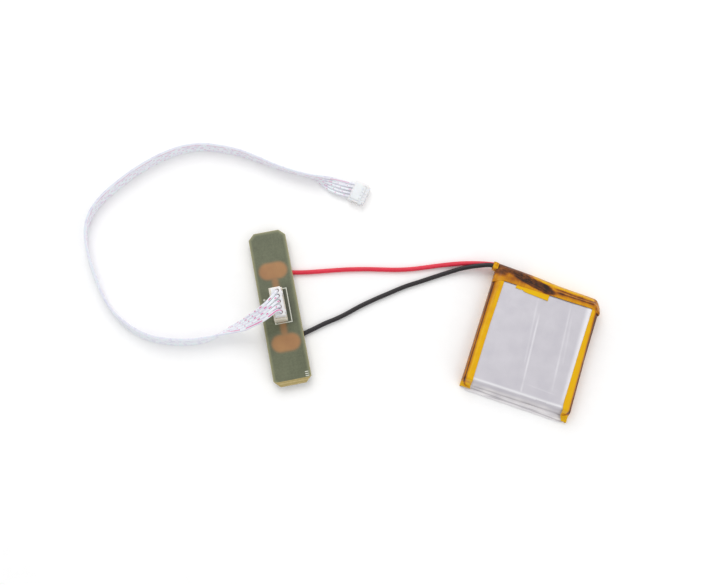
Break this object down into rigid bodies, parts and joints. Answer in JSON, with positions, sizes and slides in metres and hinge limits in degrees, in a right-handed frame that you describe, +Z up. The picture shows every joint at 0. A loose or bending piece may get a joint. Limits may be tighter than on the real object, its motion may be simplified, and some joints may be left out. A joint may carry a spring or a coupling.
{
  "type": "lithium polymer battery pack with contact board and ribbon cable",
  "caption": "Flat taped pouch cell with a protection circuit, two soldered leads to a slim contact board, and a ribbon cable with a plug at each end.",
  "frame": {"origin": "centre of the cell's underside, on the plane that the pack lies on", "axes": "+X across the cell, +Y along the cell towards its lead end, +Z up from the plane that the pack lies on"},
  "size_m": [0.1417, 0.0617, 0.0113],
  "materials": {
    "pouch_laminate": "satin heat-sealed aluminium laminate",
    "graphite_foil": "coated copper foil",
    "cathode_foil": "coated aluminium foil",
    "separator_film": "porous polyolefin film",
    "aluminium_tab": "rolled",
    "nickel_tab": "rolled nickel",
    "seal_film": "polypropylene film",
    "insulating_paper": "vulcanised fibre",
    "pcm_laminate": "green solder mask",
    "chip_body": "moulded epoxy",
    "chip_capacitor": "fired",
    "polyimide_tape": "clear amber film",
    "red_insulation": "extruded silicone or PVC",
    "black_insulation": "extruded silicone or PVC",
    "tinned_copper": "tinned strands",
    "solder": "reflowed",
    "board_laminate": "glass epoxy under green mask",
    "bare_copper": "etched copper",
    "legend_ink": "screen print",
    "header_nylon": "moulded nylon, cream",
    "plug_nylon": "moulded nylon, white",
    "contact_metal": "plated phosphor bronze",
    "ribbon_insulation": "extruded PVC"
  },
  "bodies": {
    "pack": {"pouch_cup": "pouch_laminate", "pouch_cover": "pouch_laminate", "anode_winding": "graphite_foil", "cathode_winding": "cathode_foil", "separator_winding": "separator_film", "positive_tab": "aluminium_tab", "negative_tab": "nickel_tab", "tab_seal_films": "seal_film", "insulating_paper": "insulating_paper", "protection_board": "pcm_laminate", "protection_mosfet": "chip_body", "protection_ic": "chip_body", "chip_resistors": "chip_body", "chip_capacitors": "chip_capacitor", "tab_weld_plates": "nickel_tab", "lead_solder_joints": "solder", "side_tape_left": "polyimide_tape", "side_tape_right": "polyimide_tape", "top_wrap_tape": "polyimide_tape", "tape_tab": "polyimide_tape", "lead_exit_collar": "polyimide_tape", "red_lead": "red_insulation", "black_lead": "black_insulation", "tinned_lead_ends": "tinned_copper", "board_substrate": "board_laminate", "copper_pads": "bare_copper", "pad_solder_joints": "solder", "silkscreen_marks": "legend_ink", "header_housing": "header_nylon", "header_pins": "contact_metal", "header_solder_joints": "solder", "ribbon_cable": "ribbon_insulation", "far_plug_housing": "plug_nylon", "far_plug_terminals": "contact_metal"},
    "board_plug": {"plug_housing": "plug_nylon", "plug_terminals": "contact_metal"}
  },
  "joints": [
    {"name": "plug_pull", "type": "slide", "parent": "pack", "child": "board_plug", "axis": [0, 0, 1], "range_m": [0, 0.006], "deforming": ["ribbon_cable"]}
  ]
}
